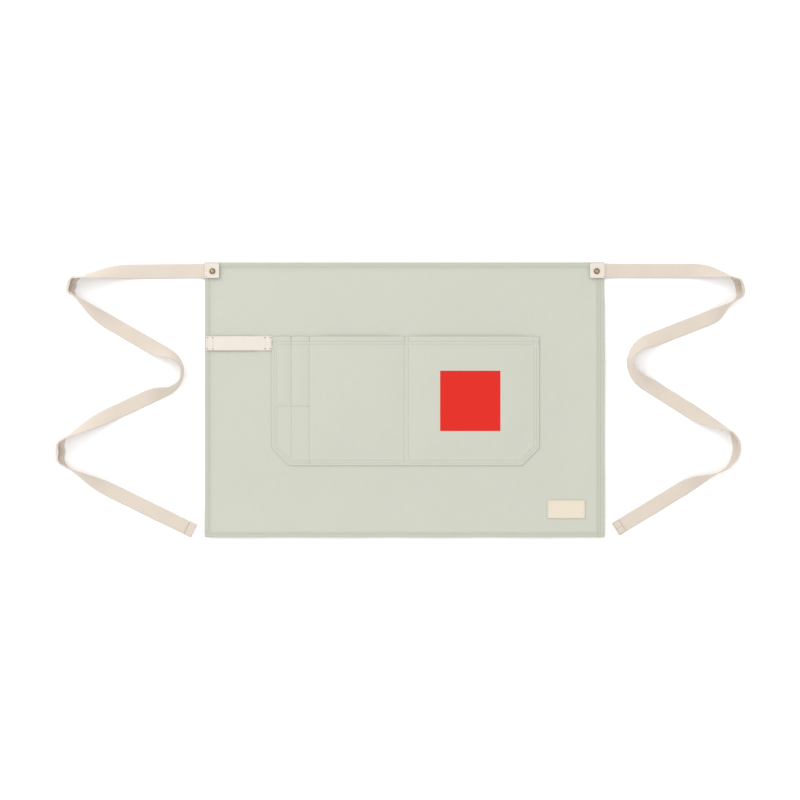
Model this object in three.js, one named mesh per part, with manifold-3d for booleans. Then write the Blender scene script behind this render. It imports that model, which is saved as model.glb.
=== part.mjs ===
// Waist apron of canvas, lying face up with its two ties laid out in folds beside it.
// Millimetres, +Z up. The waist edge is towards +Y, and the origin is in the middle of the
// panel's underside, on the surface that the apron lies on.
import * as THREE from "three";
import { mergeVertices } from "three/addons/utils/BufferGeometryUtils.js";
import Module from "manifold-3d";

const wasm = await Module();
wasm.setup();

// Panel
const panelWidth = 700;
const panelHeight = 484;
const canvas = 1.1; // one layer of canvas
const sideHem = 9.4;
const topHem = 8.6;
const bottomHem = 8;
const seat = 0.3; // gap between pieces that lie on each other

// Pocket
const pocketWidth = 467;
const pocketHeight = 225.5;
const pocketDrop = 130.5; // waist edge down to the pocket's mouth
const pocketShift = 1.75; // the pocket sits a little to the right of the middle
const pocketCorner = 30.5; // slanted cut of each lower corner
const seamInset = 8.8; // the inner stitch row, from the pocket's edge
const mouthHem = 14;
const penWidths = [34, 31.5]; // two pen slots, from the pocket's left edge
const penDepth = 122;
const middleSeamGap = 7; // between the two rows of the middle seam
const middleSeamShift = 1.5;
const pocketPuff = 6.2; // how far the cloth stands off the panel between its seams
const penPuff = 6;
const puffReach = 60; // how far from a seam the cloth needs to come up to its full height

// Tape: the ties, the towel loop and the tabs are cut from one width
const tapeWidth = 25;
const tapeThick = 1.2;
const tabSize = 25;
const tabThick = 1.2;
const tabSideInset = 1.1; // tab to the panel's side edge
const tabTopInset = 4.2; // tab to the waist edge
const tieHem = 14.6; // folded end of a tie
const tieSpread = 230; // how far beside the panel the ties' turns lie
const rampLength = 32; // where a tie comes down from the panel to the surface

// Towel loop
const loopInset = 3; // loop's end to the panel's side edge
const loopRaise = 0.4; // the loop's upper edge lies this far above the pocket's mouth
const loopEnd = 9; // the sewn stretch at each end
const loopRise = 5.6;

// Rivets
const capRadius = 5.1;
const capHeight = 1.3;
const postRadius = 1.7;
const headRadius = 3.6;
const headThick = 0.7;
const rivetInset = 14.6; // rivet to the panel's side edge

// Label
const labelWidth = 65.6;
const labelHeight = 31.9;
const labelThick = 1;
const labelRadius = 2.6;
const labelSideInset = 35; // label to the panel's right edge
const labelBottomInset = 35.6; // label to the panel's lower edge

// Turns of the two ties, one row for each, in the order of travel from the panel.
// out: the turn's centre beside the panel, as a share of tieSpread
// down: the turn's centre below the waist edge, as a share of panelHeight
// radius: the tape's middle line round that centre, in tape widths
// hold: what part of the tape's width keeps to its line as it rises, 0 the outer edge, 1 the inner
// bulgeHold: where the middle of the bulge lies across the flat tape's width, counted the same way
// lean: how far the tape stands up on its outer edge, in degrees
// low, high: the lean of the lower and of the upper part at the middle of the turn
// crease: share of the width below the bulge
// standIn, standOut: stretch that stands up before and after the turn's middle, in tape widths
// rampIn, rampOut: stretch over which it rises from flat and lies down again, in tape widths
const leftTurns = [
  { out: 0.937, down: 0.094, radius: 1.106, hold: 1, bulgeHold: 1, lean: 78, low: 158, high: 42,
    crease: 0.56, standIn: 1.45, standOut: 1.45, rampIn: 4.2, rampOut: 3.15 },
  { out: 0.36, down: 0.3975, radius: 1.35, hold: 0, bulgeHold: 0, lean: 90, low: 90, high: 90,
    crease: 0.5, standIn: 0.42, standOut: 0.42, rampIn: 2.5, rampOut: 2.66 },
  { out: 1.005, down: 0.686, radius: 1.24, hold: 0.7, bulgeHold: 1, lean: 78, low: 158, high: 42,
    crease: 0.56, standIn: 1.66, standOut: 1.96, rampIn: 3.5, rampOut: 3.15 },
];
const rightTurns = [
  { out: 0.921, down: 0.1035, radius: 1.365, hold: 1, bulgeHold: 1, lean: 80, low: 135, high: 55,
    crease: 0.5, standIn: 1.4, standOut: 1.4, rampIn: 2.94, rampOut: 2.1 },
  { out: 0.403, down: 0.365, radius: 1.63, hold: 0, bulgeHold: 0.08, lean: 75, low: 75, high: 75,
    crease: 0.5, standIn: 0.28, standOut: 0.28, rampIn: 2.24, rampOut: 2.38 },
  { out: 0.778, down: 0.671, radius: 1.56, hold: 0.15, bulgeHold: 0, lean: 80, low: 135, high: 55,
    crease: 0.5, standIn: 0.75, standOut: 1.82, rampIn: 3.36, rampOut: 2.8 },
];
// Free ends of the ties, by the same shares
const leftEnd = { out: 0.081, down: 0.973 };
const rightEnd = { out: 0.082, down: 0.967 };

// Heights of the layers at a corner
const hemTop = 2 * canvas;
const tieLevel = hemTop + seat;
const tabLevel = tieLevel + tapeThick + seat;
const capLevel = tabLevel + tabThick + seat;
const clothLevel = canvas + seat; // what lies on a single layer of the panel

// Places worked out from the sizes
const sideX = panelWidth / 2;
const topY = panelHeight / 2;
const tabMiddleX = sideX - tabSideInset - tabSize / 2;
const tabMiddleY = topY - tabTopInset - tabSize / 2;
const rivetX = sideX - rivetInset;
const pocketLeft = pocketShift - pocketWidth / 2;
const pocketRight = pocketShift + pocketWidth / 2;
const mouthY = topY - pocketDrop;
const pocketBottom = mouthY - pocketHeight;

// Materials
const cloth = (color, roughness = 0.9) =>
  new THREE.MeshStandardMaterial({ color, roughness, metalness: 0 });
const sage = cloth("#d5d7ca");
const cream = cloth("#f1e8dc", 0.75);
const flax = cloth("#e8dac9");
const patch = cloth("#f1e6d2", 0.7);
const brass = new THREE.MeshStandardMaterial({ color: "#b59f72", roughness: 0.38, metalness: 1 });

const apron = new THREE.Group();

function addMesh(name, geometry, material) {
  geometry.computeVertexNormals();
  const mesh = new THREE.Mesh(geometry, material);
  mesh.name = name;
  apron.add(mesh);
  return mesh;
}

// Solids for cutting and joining
function toSolid(geometry) {
  const bare = geometry.index ? geometry.toNonIndexed() : geometry.clone();
  bare.deleteAttribute("normal");
  bare.deleteAttribute("uv");
  const merged = mergeVertices(bare, 1e-4);
  return new wasm.Manifold(new wasm.Mesh({
    numProp: 3,
    vertProperties: new Float32Array(merged.attributes.position.array),
    triVerts: new Uint32Array(merged.index.array),
  }));
}

function fromSolid(solid) {
  const mesh = solid.getMesh();
  const geometry = new THREE.BufferGeometry();
  geometry.setAttribute("position", new THREE.BufferAttribute(mesh.vertProperties, 3));
  geometry.setIndex(new THREE.BufferAttribute(mesh.triVerts, 1));
  return geometry;
}

// Flat plate of an outline, between two heights
function plate(shape, low, high) {
  const geometry = new THREE.ExtrudeGeometry(shape, {
    depth: high - low, bevelEnabled: false, curveSegments: 6,
  });
  geometry.translate(0, 0, low);
  return geometry;
}

function rectangle(left, right, bottom, top) {
  return new THREE.Shape([
    new THREE.Vector2(left, bottom), new THREE.Vector2(right, bottom),
    new THREE.Vector2(right, top), new THREE.Vector2(left, top),
  ]);
}

// Upright round bar, for holes
function bar(x, y, radius, low, high, sides = 16) {
  const geometry = new THREE.CylinderGeometry(radius, radius, high - low, sides);
  geometry.rotateX(Math.PI / 2);
  geometry.translate(x, y, (low + high) / 2);
  return toSolid(geometry);
}

// Closed wall between an upper and a lower grid of points
function wall(upper, lower) {
  const rows = upper.length;
  const columns = upper[0].length;
  const points = [...upper.flat(), ...lower.flat()];
  const faces = [];
  const up = (row, column) => row * columns + column;
  const down = (row, column) => (rows + row) * columns + column;
  const quad = (a, b, c, d) => faces.push(a, b, c, a, c, d);
  for (let row = 0; row + 1 < rows; row++) {
    for (let column = 0; column + 1 < columns; column++) {
      quad(up(row, column), up(row, column + 1), up(row + 1, column + 1), up(row + 1, column));
      quad(down(row, column), down(row + 1, column), down(row + 1, column + 1),
        down(row, column + 1));
    }
    quad(up(row, 0), up(row + 1, 0), down(row + 1, 0), down(row, 0));
    quad(up(row + 1, columns - 1), up(row, columns - 1), down(row, columns - 1),
      down(row + 1, columns - 1));
  }
  for (let column = 0; column + 1 < columns; column++) {
    quad(up(0, column + 1), up(0, column), down(0, column), down(0, column + 1));
    quad(up(rows - 1, column), up(rows - 1, column + 1), down(rows - 1, column + 1),
      down(rows - 1, column));
  }
  let volume = 0;
  for (let i = 0; i < faces.length; i += 3) {
    const [a, b, c] = [points[faces[i]], points[faces[i + 1]], points[faces[i + 2]]];
    volume += a.dot(new THREE.Vector3().crossVectors(b, c));
  }
  if (volume < 0) {
    faces.reverse();
  }
  const geometry = new THREE.BufferGeometry().setFromPoints(points);
  geometry.setIndex(faces);
  return geometry;
}

// Panel: one layer of canvas, doubled along its four hems and under each tab
function makePanel() {
  const hems = rectangle(-sideX, sideX, -topY, topY);
  hems.holes.push(rectangle(-sideX + sideHem, sideX - sideHem, -topY + bottomHem, topY - topHem));
  let solid = toSolid(plate(rectangle(-sideX, sideX, -topY, topY), 0, canvas));
  solid = solid.add(toSolid(plate(hems, 0, hemTop)));
  for (const side of [-1, 1]) {
    const corner = rectangle(tabMiddleX - tabSize / 2, sideX, tabMiddleY - tabSize / 2, topY);
    const block = plate(corner, 0, hemTop);
    if (side < 0) {
      block.rotateY(Math.PI);
      block.translate(0, 0, hemTop);
    }
    solid = solid.add(toSolid(block));
    solid = solid.subtract(bar(side * rivetX, tabMiddleY, postRadius + seat, -1, hemTop + 1));
    solid = solid.subtract(bar(side * rivetX, tabMiddleY, headRadius + seat, -1, headThick + seat));
  }
  addMesh("apron_panel", fromSolid(solid), sage);
}

// Pocket: one cloth sewn round three sides and along its dividers, and puffed between them
function makePocket() {
  const penSeams = [pocketLeft + penWidths[0], pocketLeft + penWidths[0] + penWidths[1]];
  const middleX = pocketShift + middleSeamShift;
  const middle = [middleX - middleSeamGap / 2, middleX + middleSeamGap / 2];
  const penFloor = mouthY - penDepth;
  const seamLeft = pocketLeft + seamInset;
  const seamRight = pocketRight - seamInset;
  const seamBottom = pocketBottom + seamInset;
  const cells = [
    { left: seamLeft, right: penSeams[0], floor: penFloor, puff: penPuff, pen: true },
    { left: penSeams[0], right: penSeams[1], floor: penFloor, puff: penPuff, pen: true },
    { left: penSeams[1], right: middle[0], floor: seamBottom, puff: pocketPuff },
    { left: middle[1], right: seamRight, floor: seamBottom, puff: pocketPuff },
  ];
  const cutDistance = (x, y) =>
    (pocketRight - x + (y - pocketBottom) - pocketCorner) / Math.SQRT2 - seamInset;
  const standOff = (x, y) => {
    const cell = cells.find((one) => x > one.left && x < one.right && y > one.floor);
    if (!cell) {
      return 0;
    }
    const reach = cell.pen ? (cell.right - cell.left) / 2 : puffReach;
    const distance = Math.min(x - cell.left, cell.right - x, y - cell.floor, cutDistance(x, y));
    const share = Math.min(Math.max(distance / reach, 0), 1);
    return cell.puff * (1 - (1 - share) ** 2);
  };

  const rises = [0, 0.12, 0.28, 0.54, 1]; // shares of puffReach at which the sheet has a line
  const columns = [pocketLeft];
  for (const cell of cells) {
    if (cell.pen) {
      columns.push(...[0, 0.2, 0.5, 0.8].map((s) => cell.left + s * (cell.right - cell.left)));
    } else {
      columns.push(...rises.map((s) => cell.left + s * puffReach));
      columns.push(...rises.toReversed().map((s) => cell.right - s * puffReach));
    }
  }
  columns.push(pocketRight);
  const hemStep = 0.6;
  const penRises = [0, 0.2, 0.5, 1].map((s) => penFloor + s * penWidths[0] / 2);
  const rows = [
    mouthY, mouthY - mouthHem, mouthY - mouthHem - hemStep, (mouthY + penFloor) / 2,
    ...penRises.toReversed(), ...rises.toReversed().map((s) => seamBottom + s * puffReach),
    pocketBottom + pocketCorner, pocketBottom,
  ].sort((a, b) => b - a);

  const rightAnchor = seamRight - puffReach;
  const place = (column, y) => {
    const cut = Math.max(0, pocketBottom + pocketCorner - y);
    if (column < penSeams[0]) {
      const span = penSeams[0] - pocketLeft;
      return pocketLeft + cut + (column - pocketLeft) * (span - cut) / span;
    }
    if (column > rightAnchor) {
      const span = pocketRight - rightAnchor;
      return pocketRight - cut - (pocketRight - column) * (span - cut) / span;
    }
    return column;
  };
  const sheet = (lift) => rows.map((y, row) => columns.map((column) => {
    const x = place(column, y);
    const thick = row < 2 ? hemTop : canvas;
    return new THREE.Vector3(x, y, clothLevel + standOff(x, y) + lift * thick);
  }));
  addMesh("pocket_panel", wall(sheet(1), sheet(0)), sage);
}

// Towel loop: a strap from the side hem to the pocket's edge, arched clear of the panel
function makeLoop() {
  const left = -sideX + loopInset;
  const right = pocketLeft - seat;
  const upperY = mouthY + loopRaise;
  const startLevel = hemTop + seat;
  const free = right - left - 2 * loopEnd;
  const shares = [0, 0.05, 0.12, 0.22, 0.36, 0.5, 0.64, 0.78, 0.88, 0.95, 1];
  const stations = [
    { x: left, level: startLevel },
    ...shares.map((s) => ({
      x: left + loopEnd + s * free,
      level: startLevel + (clothLevel - startLevel) * s + loopRise * (1 - (2 * s - 1) ** 4),
    })),
    { x: right, level: clothLevel },
  ];
  const strip = (lift) => stations.map(({ x, level }) => [upperY, upperY - tapeWidth]
    .map((y) => new THREE.Vector3(x, y, level + lift * tapeThick)));
  addMesh("towel_loop", wall(strip(1), strip(0)), cream);
}

// Tab over each end of the waist, with a hole for its rivet
function makeTab(side, name) {
  const tab = rectangle(side * tabMiddleX - tabSize / 2, side * tabMiddleX + tabSize / 2,
    tabMiddleY - tabSize / 2, tabMiddleY + tabSize / 2);
  const hole = new THREE.Path();
  hole.absarc(side * rivetX, tabMiddleY, postRadius + seat, 0, 2 * Math.PI, true);
  tab.holes.push(hole);
  addMesh(name, plate(tab, tabLevel, tabLevel + tabThick), cream);
}

// Rivet: a rimmed cap with a low dome, a post through all layers, and a head at the back
function makeRivet(side, name) {
  const top = capLevel + capHeight;
  const profile = [
    [0, 0], [headRadius, 0], [headRadius, headThick * 0.6], [headRadius - 0.4, headThick],
    [postRadius, headThick], [postRadius, capLevel], [capRadius - 0.4, capLevel],
    [capRadius, capLevel + 0.35 * capHeight], [capRadius - 0.35, top - 0.1],
    [capRadius - 0.9, top], [capRadius - 1.5, top - 0.45], [capRadius - 2.5, top - 0.3],
    [capRadius - 3.8, top - 0.05], [0, top],
  ].map(([radius, height]) => new THREE.Vector2(radius, height));
  const geometry = new THREE.LatheGeometry(profile, 16);
  geometry.rotateX(Math.PI / 2);
  geometry.translate(side * rivetX, tabMiddleY, 0);
  addMesh(name, fromSolid(toSolid(geometry)), brass);
}

// Label, a plain patch with round corners
function makeLabel() {
  const right = sideX - labelSideInset;
  const bottom = -topY + labelBottomInset;
  const outline = new THREE.Shape();
  const corners = [
    [right - labelRadius, bottom + labelRadius, -Math.PI / 2],
    [right - labelRadius, bottom + labelHeight - labelRadius, 0],
    [right - labelWidth + labelRadius, bottom + labelHeight - labelRadius, Math.PI / 2],
    [right - labelWidth + labelRadius, bottom + labelRadius, Math.PI],
  ];
  for (const [x, y, from] of corners) {
    outline.absarc(x, y, labelRadius, from, from + Math.PI / 2, false);
  }
  addMesh("label", plate(outline, clothLevel, clothLevel + labelThick), patch);
}

// Middle line of a tie, seen from above: straight runs, each tangent to the turns at its ends.
// Its own x runs outwards from the panel's side. Turns bend by turns to the right and left.
function tiePath(turns, end) {
  const circles = [
    { x: tabSize / 2 + tabMiddleX - sideX - tabSize, y: tabMiddleY, radius: 0, hand: 0 },
    ...turns.map((turn, i) => ({
      x: turn.out * tieSpread, y: topY - turn.down * panelHeight,
      radius: turn.radius * tapeWidth, hand: i % 2 ? 1 : -1, turn,
    })),
    { x: end.out * tieSpread, y: topY - end.down * panelHeight, radius: 0, hand: 0 },
  ];
  const runs = circles.slice(1).map((to, i) => {
    const from = circles[i];
    const span = Math.hypot(to.x - from.x, to.y - from.y);
    const offset = (to.hand * to.radius - from.hand * from.radius) / span;
    const heading = Math.atan2(to.y - from.y, to.x - from.x) - Math.asin(offset);
    const touch = (circle) => ({
      x: circle.x + circle.hand * circle.radius * Math.sin(heading),
      y: circle.y - circle.hand * circle.radius * Math.cos(heading),
    });
    const start = touch(from);
    const stop = touch(to);
    return { start, heading, length: Math.hypot(stop.x - start.x, stop.y - start.y) };
  });
  const pieces = [];
  let distance = 0;
  runs.forEach((run, i) => {
    pieces.push({ ...run, from: distance, hand: 0 });
    distance += run.length;
    const circle = circles[i + 1];
    if (!circle.turn) {
      return;
    }
    const angle = ((runs[i + 1].heading - run.heading) * circle.hand + 4 * Math.PI)
      % (2 * Math.PI);
    const length = angle * circle.radius;
    pieces.push({ circle, heading: run.heading, length, from: distance, hand: circle.hand });
    circle.middle = distance + length / 2;
    distance += length;
  });
  const at = (s) => {
    const piece = pieces.findLast((one) => s >= one.from) ?? pieces[0];
    const along = s - piece.from;
    if (piece.hand === 0) {
      return {
        x: piece.start.x + along * Math.cos(piece.heading),
        y: piece.start.y + along * Math.sin(piece.heading),
        heading: piece.heading,
      };
    }
    const { x, y, radius, hand } = piece.circle;
    const heading = piece.heading + hand * along / radius;
    return {
      x: x + hand * radius * Math.sin(heading), y: y - hand * radius * Math.cos(heading), heading,
    };
  };
  return { at, length: distance, circles: circles.slice(1, -1) };
}

// Lean of the tape at a distance along its middle line: flat on the runs, up on its outer edge
// at a turn, where it bulges outwards between two places at which it stands straight
function leanAt(s, circles) {
  const nearest = circles.reduce((best, one) =>
    (Math.abs(s - one.middle) < Math.abs(s - best.middle) ? one : best));
  const { turn, hand, middle } = nearest;
  const before = s < middle;
  const stand = (before ? turn.standIn : turn.standOut) * tapeWidth;
  const ramp = (before ? turn.rampIn : turn.rampOut) * tapeWidth;
  const away = Math.abs(s - middle);
  const upright = Math.min(1, Math.max(0, 1 - (away - stand) / ramp));
  const bulgeSpan = Math.min(turn.standIn, turn.standOut) * tapeWidth;
  const bulge = away < bulgeSpan ? Math.cos(away / bulgeSpan * Math.PI / 2) ** 2 : 0;
  const lean = turn.lean * upright ** 1.15;
  return {
    inward: hand, bulge, hold: turn.hold, bulgeHold: turn.bulgeHold, crease: turn.crease,
    low: THREE.MathUtils.degToRad(lean + bulge * (turn.low - turn.lean)),
    high: THREE.MathUtils.degToRad(lean + bulge * (turn.high - turn.lean)),
  };
}

// Cross-section of the leaning tape: points of its middle, from the outer edge on the surface to
// the inner edge, as an offset towards the turn's centre and a height, with normals
function tapeSection({ low, high, bulge, hold, bulgeHold, crease }, parts = 4) {
  const half = parts / 2;
  const points = [[0, 0]];
  const angles = [];
  for (let i = 0; i < parts; i++) {
    const share = (i + 0.5) / parts;
    const blend = THREE.MathUtils.smoothstep(share, 0.08, 0.92);
    const angle = low + (high - low) * blend;
    const length = tapeWidth * (i < half ? crease : 1 - crease) / half;
    angles.push(angle);
    const [u, z] = points[i];
    points.push([u + length * Math.cos(angle), z + length * Math.sin(angle)]);
  }
  const nearSide = Math.min(...points.map(([u]) => u));
  const farSide = Math.max(...points.map(([u]) => u));
  const share = hold + (0.5 - hold) * bulge;
  const target = hold + (bulgeHold - hold) * bulge - 0.5;
  const shift = target * tapeWidth - (nearSide + share * (farSide - nearSide));
  return points.map(([u, z], i) => {
    const angle = (angles[Math.max(i - 1, 0)] + angles[Math.min(i, parts - 1)]) / 2;
    return { u: u + shift, z, normalU: -Math.sin(angle), normalZ: Math.cos(angle) };
  });
}

// Distances at which a tie has a section: close in the turns, wide on the runs
function stationsAlong(path) {
  const fine = tapeWidth * 0.29;
  const coarse = tapeWidth * 0.72;
  const nearTurn = (s) => path.circles.some(({ middle, turn }) =>
    Math.abs(s - middle) < (Math.max(turn.standIn, turn.standOut) + 0.5) * tapeWidth);
  const lastFlat = path.length - tieHem - 0.5;
  const stations = [0];
  let s = tabSize;
  while (s < lastFlat - coarse / 2) {
    stations.push(s);
    s += nearTurn(s) ? fine : coarse;
  }
  return [...stations, lastFlat, lastFlat + 0.5, path.length];
}

// Tie: from under its tab, down to the surface, and in three turns to its folded free end
function makeTie(side, turns, end, name) {
  const path = tiePath(turns, end);
  const upper = [];
  const lower = [];
  for (const s of stationsAlong(path)) {
    const { x, y, heading } = path.at(s);
    const lean = leanAt(s, path.circles);
    const section = tapeSection(lean);
    const down = THREE.MathUtils.smoothstep(s - tabSize - tabSideInset, 0, rampLength);
    const thick = s > path.length - tieHem - 0.2 ? 2 * tapeThick : tapeThick;
    const inward = { x: -lean.inward * Math.sin(heading), y: lean.inward * Math.cos(heading) };
    const offset = (point, out) => [
      point.u + out * point.normalU, point.z + out * point.normalZ,
    ];
    const lowest = Math.min(...section.map((point) =>
      Math.min(offset(point, -tapeThick / 2)[1], offset(point, tapeThick / 2)[1])));
    const level = tieLevel * (1 - down) - lowest;
    const place = (out) => section.map((point) => {
      const [u, z] = offset(point, out);
      return new THREE.Vector3(side * (sideX + x + u * inward.x), y + u * inward.y, z + level);
    });
    const ordered = (row) => (lean.inward < 0 ? row : row.toReversed());
    upper.push(ordered(place(thick - tapeThick / 2)));
    lower.push(ordered(place(-tapeThick / 2)));
  }
  const hole = bar(side * rivetX, tabMiddleY, postRadius + seat, 0, capLevel);
  addMesh(name, fromSolid(toSolid(wall(upper, lower)).subtract(hole)), flax);
}

makePanel();
makePocket();
makeLoop();
makeTie(-1, leftTurns, leftEnd, "left_tie");
makeTie(1, rightTurns, rightEnd, "right_tie");
makeTab(-1, "left_tab");
makeTab(1, "right_tab");
makeRivet(-1, "left_rivet");
makeRivet(1, "right_rivet");
makeLabel();

export default apron;
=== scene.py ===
# Waist apron: cloth, tape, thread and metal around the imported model.
# Metres, +Z up, with the waist edge towards +Y, as in the frame.
import math

import bpy
import numpy as np
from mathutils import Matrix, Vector
from mathutils.geometry import delaunay_2d_cdt


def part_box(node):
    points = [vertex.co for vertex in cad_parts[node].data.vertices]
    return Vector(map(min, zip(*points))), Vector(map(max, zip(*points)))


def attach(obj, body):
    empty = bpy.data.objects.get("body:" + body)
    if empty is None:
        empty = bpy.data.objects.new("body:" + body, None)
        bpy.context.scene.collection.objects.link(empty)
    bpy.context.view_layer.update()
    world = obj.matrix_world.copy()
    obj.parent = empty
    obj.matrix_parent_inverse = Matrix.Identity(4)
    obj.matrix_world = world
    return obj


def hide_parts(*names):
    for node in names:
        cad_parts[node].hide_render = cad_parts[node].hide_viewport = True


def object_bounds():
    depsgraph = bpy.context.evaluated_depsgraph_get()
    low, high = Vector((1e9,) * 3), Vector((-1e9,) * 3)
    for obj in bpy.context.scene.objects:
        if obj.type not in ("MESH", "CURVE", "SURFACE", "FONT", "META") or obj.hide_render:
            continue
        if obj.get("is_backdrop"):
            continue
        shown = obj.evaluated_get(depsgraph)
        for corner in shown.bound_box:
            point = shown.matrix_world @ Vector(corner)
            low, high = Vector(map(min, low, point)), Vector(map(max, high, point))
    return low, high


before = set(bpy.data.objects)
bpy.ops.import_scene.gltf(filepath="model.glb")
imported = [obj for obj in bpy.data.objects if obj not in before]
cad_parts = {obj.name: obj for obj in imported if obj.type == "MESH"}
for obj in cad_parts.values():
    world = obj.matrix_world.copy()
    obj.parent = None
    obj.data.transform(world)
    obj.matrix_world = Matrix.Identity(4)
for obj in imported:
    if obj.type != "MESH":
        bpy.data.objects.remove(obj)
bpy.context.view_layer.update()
MM = 0.001
TURN = 2 * math.pi

# Places of the pieces, from the frame
panel_low, panel_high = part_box("apron_panel")
pocket_low, pocket_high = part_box("pocket_panel")
loop_low, loop_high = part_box("towel_loop")
label_low, label_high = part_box("label")
SIDES = ("left", "right")
tab_boxes = {side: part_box(side + "_tab") for side in SIDES}
rivet_boxes = {side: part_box(side + "_rivet") for side in SIDES}

# Cloth; its edges lie where the photo shows them, a little inside the solid's
HEM_PULL_LOW = Vector((0.7, 2.7, 0)) * MM
HEM_PULL_HIGH = Vector((0.8, 0.7, 0)) * MM
cloth_low = panel_low + HEM_PULL_LOW
cloth_high = panel_high - HEM_PULL_HIGH
CANVAS = 1.0 * MM
UNDER = 0.2 * MM  # how far a single layer lies above the folded hems' underside
HEM_EXTRA = 1.1 * MM  # what a fold adds to the cloth's height
SEAT = 0.3 * MM
EDGE_ROUND = 0.9 * MM
EDGE_RINGS = (0, 0.1 * MM, 0.3 * MM, 0.6 * MM, 0.9 * MM, 2.2 * MM)
GRID = 5 * MM
LINE_STEP = 4 * MM
GROOVE = 0.4 * MM  # depth of the furrow that a row of stitches pulls into the cloth
GROOVE_WIDTH = 0.7 * MM
GROOVE_LINES = (-1.4 * MM, -0.6 * MM, 0, 0.6 * MM, 1.4 * MM)

# Stitch rows of the panel, from its edges
LEFT_ROW = 7.9 * MM
TOP_ROW = 8.4 * MM
BOTTOM_ROW = 6.4 * MM
RIGHT_ROWS = (6.9 * MM, 11.6 * MM)
HEM_PAST_ROW = 1.6 * MM

# The lower and right edges of the panel stand a little off the surface
EDGE_LIFT = 3.6 * MM
LIFT_REACH = 80 * MM
CALM_CORNER = 95 * MM

# Pocket
POCKET_CORNER = 30.5 * MM
POCKET_ROWS = (4.4 * MM, 8.8 * MM)
MOUTH_ROWS = (9.3 * MM, 13.8 * MM)
MOUTH_HEM = 14.6 * MM
POCKET_HEM_EXTRA = 0.35 * MM  # what its turned edges add to its height
PEN_SEAMS = (34 * MM, 65.5 * MM)  # from the pocket's left edge
PEN_DEPTH = 122 * MM
MIDDLE_SEAMS = (231.4 * MM, 238.5 * MM)
POCKET_PUFF = 2.4 * MM
PEN_PUFF = 1.1 * MM
PUFF_REACH = 60 * MM

# Print on the pocket: a square, from the pocket's right edge and its mouth
PRINT_SIZE = 105.7 * MM
PRINT_FROM_RIGHT = 67.8 * MM
PRINT_FROM_MOUTH = 59.7 * MM

# Thread
PITCH = 3.3 * MM
THREAD = 0.27 * MM
THREAD_GAP = 0.75 * MM

# Tape of the ties
TAPE = 25 * MM
TAPE_THICK = 1.2 * MM
TIE_HEM = 14.6 * MM
TIE_SPREAD = 230 * MM
RAMP = 32 * MM
TIE_RAISE = 1 * MM  # the sewn end's middle, above the tab's middle
TIE_ROWS = (0.9 * MM, 12.2 * MM)  # the free end's stitch rows, from its hem's edge

# Turns of the ties in the order of travel, as shares of TIE_SPREAD, of the panel's height and of
# the tape's width: centre beside the panel, centre below the waist edge, radius, the part of the
# width that keeps its line, the middle of the bulge, lean, lower and upper lean at the middle,
# share below the crease, and the stretches that stand up and ramp before and after the middle.
# The lower and upper leans are overdrawn, because soft_lean takes a part of them off.
TURN_COLUMNS = ("out", "down", "radius", "hold", "bulge_hold", "lean", "low", "high", "crease",
                "stand_in", "stand_out", "ramp_in", "ramp_out")
TURNS = {
    "left": (
        (0.937, 0.094, 1.106, 1, 1, 80, 192, 14, 0.62, 1.45, 1.45, 3.6, 3.15),
        (0.36, 0.3975, 1.35, 0, 0, 90, 90, 90, 0.5, 0.42, 0.42, 2.5, 2.66),
        (1.005, 0.686, 1.24, 0.7, 1, 80, 192, 14, 0.62, 1.66, 1.96, 3.5, 3.15),
    ),
    "right": (
        (0.921, 0.1035, 1.365, 1, 0.95, 86, 174, 22, 0.57, 1.45, 2.0, 2.7, 1.5),
        (0.403, 0.365, 1.63, 0, 0.08, 75, 75, 75, 0.5, 0.28, 0.28, 2.24, 2.38),
        (0.778, 0.671, 1.56, 0.15, -0.18, 86, 182, 12, 0.58, 0.85, 2.0, 3.2, 2.5),
    ),
}
ENDS = {"left": (0.081, 0.973), "right": (0.082, 0.967)}


def smooth(value, low, high):
    """0 up to the low value and 1 from the high one, with a soft rise between them."""
    share = np.clip((value - low) / (high - low), 0, 1)
    return share * share * (3 - 2 * share)


def waves(x, y, table):
    """Sum of sine waves; a row is length, direction in degrees, phase and height."""
    total = np.zeros_like(x)
    for length, direction, phase, height in table:
        angle = math.radians(direction)
        along = x * math.cos(angle) + y * math.sin(angle)
        total += height * np.sin(TURN * along / length + phase)
    return total


# Outlines and lines, all in plan
def box_corners(low, high):
    return [(low.x, low.y), (high.x, low.y), (high.x, high.y), (low.x, high.y)]


def inset(outline, distance):
    """A convex outline, counterclockwise, with every side moved inwards."""
    moved = []
    corners = np.array(outline, float)
    for before, corner, after in zip(np.roll(corners, 1, 0), corners, np.roll(corners, -1, 0)):
        first = (corner - before) / np.linalg.norm(corner - before)
        second = (after - corner) / np.linalg.norm(after - corner)
        normals = np.array(((-first[1], first[0]), (-second[1], second[0])))
        moved.append(corner + np.linalg.solve(normals, (distance, distance)))
    return moved


def beside(base, moved, step):
    """Points along a line beside another one, each straight across from a point of the other."""
    base = np.array(base, float)
    moved = np.array(moved, float)
    points = []
    for start, stop, shifted in zip(base, base[1:], moved):
        side = stop - start
        length = np.linalg.norm(side)
        away = shifted - start
        away -= side * (away @ side) / length ** 2
        count = max(1, math.ceil(length / step))
        points.append(shifted)
        points += [start + side * k / count + away for k in range(1, count)]
    return points + [moved[-1]]


def ring(outline, distance, step):
    """Points round an inset outline, straight in from those round the outline itself."""
    corners = inset(outline, distance)
    return beside(list(outline) + [outline[0]], corners + [corners[0]], step)[:-1]


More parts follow.
